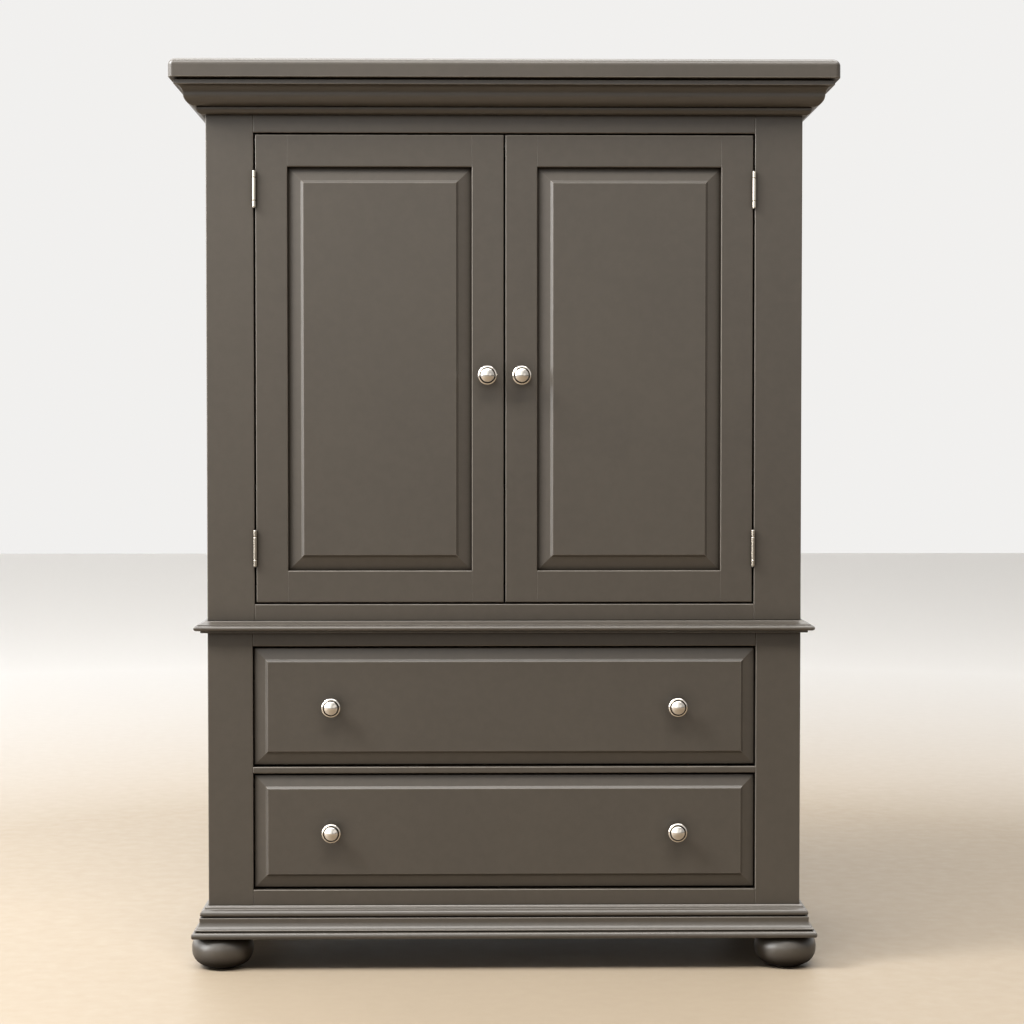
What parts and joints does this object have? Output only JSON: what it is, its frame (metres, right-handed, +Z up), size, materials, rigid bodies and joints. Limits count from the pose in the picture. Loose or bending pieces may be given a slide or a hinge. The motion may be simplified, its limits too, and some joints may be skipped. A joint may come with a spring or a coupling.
{
  "type": "armoire",
  "caption": "Painted armoire with a moulded top, paired raised-panel doors over wide drawers, turned bun feet and round metal knobs.",
  "frame": {"origin": "on the floor under the centre of the whole piece, at the bottom centre of its bounding box", "axes": "+X across to the viewer's right when facing the doors, +Y from the front to the back, +Z up"},
  "size_m": [1.121, 0.586, 1.539],
  "materials": {
    "paint": "satin paint, dark warm grey",
    "birch": "clear satin lacquer on pale hardwood",
    "nickel": "polished nickel plate",
    "zinc_steel": "bright zinc plate",
    "catch_plastic": "matt moulded"
  },
  "bodies": {
    "case": {"base_front": "paint", "base_returns": "paint", "clothes_rod": "zinc_steel", "crown_front": "paint", "crown_returns": "paint", "door_catch": "catch_plastic", "drawer_divider_rail": "paint", "drawer_runners": "birch", "foot_back_left": "paint", "foot_back_right": "paint", "foot_bolts": "zinc_steel", "foot_front_left": "paint", "foot_front_right": "paint", "hinge_frame_leaves": "nickel", "hinge_pins": "nickel", "lower_back": "paint", "lower_bottom_rail": "paint", "lower_floor": "paint", "lower_side_left": "paint", "lower_side_right": "paint", "lower_stile_left": "paint", "lower_stile_right": "paint", "lower_top_rail": "paint", "rod_sockets": "zinc_steel", "shelf": "paint", "shelf_pins": "zinc_steel", "top_board": "paint", "upper_back": "paint", "upper_bottom_rail": "paint", "upper_floor": "paint", "upper_side_left": "paint", "upper_side_right": "paint", "upper_stile_left": "paint", "upper_stile_right": "paint", "upper_top_rail": "paint", "waist_board": "paint"},
    "left_door": {"left_door_bottom_rail": "paint", "left_door_hinge_leaves": "nickel", "left_door_hinge_stile": "paint", "left_door_knob": "nickel", "left_door_meeting_stile": "paint", "left_door_panel": "paint", "left_door_strike": "zinc_steel", "left_door_top_rail": "paint"},
    "right_door": {"right_door_bottom_rail": "paint", "right_door_hinge_leaves": "nickel", "right_door_hinge_stile": "paint", "right_door_knob": "nickel", "right_door_meeting_stile": "paint", "right_door_panel": "paint", "right_door_strike": "zinc_steel", "right_door_top_rail": "paint"},
    "upper_drawer": {"upper_drawer_bottom": "birch", "upper_drawer_box": "birch", "upper_drawer_front": "paint", "upper_drawer_knobs": "nickel"},
    "lower_drawer": {"lower_drawer_bottom": "birch", "lower_drawer_box": "birch", "lower_drawer_front": "paint", "lower_drawer_knobs": "nickel"}
  },
  "joints": [
    {"name": "left_door_hinge", "type": "hinge", "parent": "case", "child": "left_door", "pos_m": [-0.4225, -0.2408, 1.0226], "axis": [0, 0, -1], "range_deg": [0, 170]},
    {"name": "right_door_hinge", "type": "hinge", "parent": "case", "child": "right_door", "pos_m": [0.4225, -0.2408, 1.0226], "axis": [0, 0, 1], "range_deg": [0, 170]},
    {"name": "upper_drawer_slide", "type": "slide", "parent": "case", "child": "upper_drawer", "axis": [0, -1, 0], "range_m": [0, 0.36]},
    {"name": "lower_drawer_slide", "type": "slide", "parent": "case", "child": "lower_drawer", "axis": [0, -1, 0], "range_m": [0, 0.36]}
  ]
}
